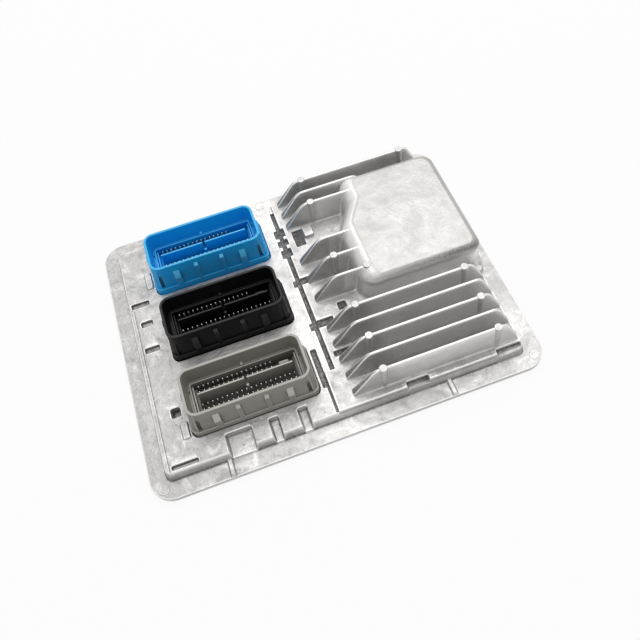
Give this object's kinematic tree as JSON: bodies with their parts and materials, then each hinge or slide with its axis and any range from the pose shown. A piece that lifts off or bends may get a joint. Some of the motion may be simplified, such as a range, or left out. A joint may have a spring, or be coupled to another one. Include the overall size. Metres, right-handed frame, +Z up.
{
  "type": "engine control unit",
  "caption": "Flat die-cast aluminium control unit with cooling fins, a domed housing and pin sockets in blue, black and grey on a wide mounting flange.",
  "frame": {"origin": "middle of the base plate's underside", "axes": "+X along the fins and sockets, from the sockets to the fins; +Y across them, from the grey socket to the blue one; +Z up, away from the base plate"},
  "size_m": [0.21, 0.163, 0.0283],
  "materials": {
    "cast_aluminium": "bare die-cast metal, satin with mottled flow marks",
    "sheet_aluminium": "rolled sheet, satin",
    "zinc_plated_steel": "zinc plated, semi-bright",
    "silicone": "matt",
    "board_laminate": "green solder mask, satin",
    "chip_epoxy": "matt moulded epoxy",
    "capacitor_can": "drawn can, semi-bright",
    "ferrite": "matt sintered",
    "enamelled_copper": "enamelled wire, glossy",
    "thermal_pad": "soft, matt",
    "grey_plastic": "moulded, satin",
    "black_plastic": "moulded, satin",
    "blue_plastic": "moulded, satin",
    "tinned_pins": "tin plated, semi-bright"
  },
  "bodies": {
    "root": {"base_plate": "sheet_aluminium", "black_pin_block": "black_plastic", "black_socket_gasket": "silicone", "black_socket_shroud": "black_plastic", "blue_pin_block": "blue_plastic", "blue_socket_gasket": "silicone", "blue_socket_shroud": "blue_plastic", "board_screw_1": "zinc_plated_steel", "board_screw_2": "zinc_plated_steel", "board_screw_3": "zinc_plated_steel", "board_screw_4": "zinc_plated_steel", "board_screw_5": "zinc_plated_steel", "board_screw_6": "zinc_plated_steel", "board_screw_7": "zinc_plated_steel", "board_screw_8": "zinc_plated_steel", "capacitor_1": "capacitor_can", "capacitor_2": "capacitor_can", "capacitor_3": "capacitor_can", "choke_core": "ferrite", "choke_winding": "enamelled_copper", "circuit_board": "board_laminate", "cover_seal": "silicone", "crystal": "zinc_plated_steel", "driver_chip_1": "chip_epoxy", "driver_chip_2": "chip_epoxy", "driver_chip_3": "chip_epoxy", "driver_chip_4": "chip_epoxy", "grey_pin_block": "grey_plastic", "grey_socket_gasket": "silicone", "grey_socket_shroud": "grey_plastic", "heat_sink_cover": "cast_aluminium", "memory_chip": "chip_epoxy", "plate_screw_1": "zinc_plated_steel", "plate_screw_2": "zinc_plated_steel", "plate_screw_3": "zinc_plated_steel", "plate_screw_4": "zinc_plated_steel", "plate_screw_5": "zinc_plated_steel", "plate_screw_6": "zinc_plated_steel", "plate_screw_7": "zinc_plated_steel", "plate_screw_8": "zinc_plated_steel", "power_chip": "chip_epoxy", "processor": "chip_epoxy", "thermal_pad_1": "thermal_pad", "thermal_pad_2": "thermal_pad", "thermal_pad_3": "thermal_pad", "thermal_pad_4": "thermal_pad"}
  },
  "joints": []
}
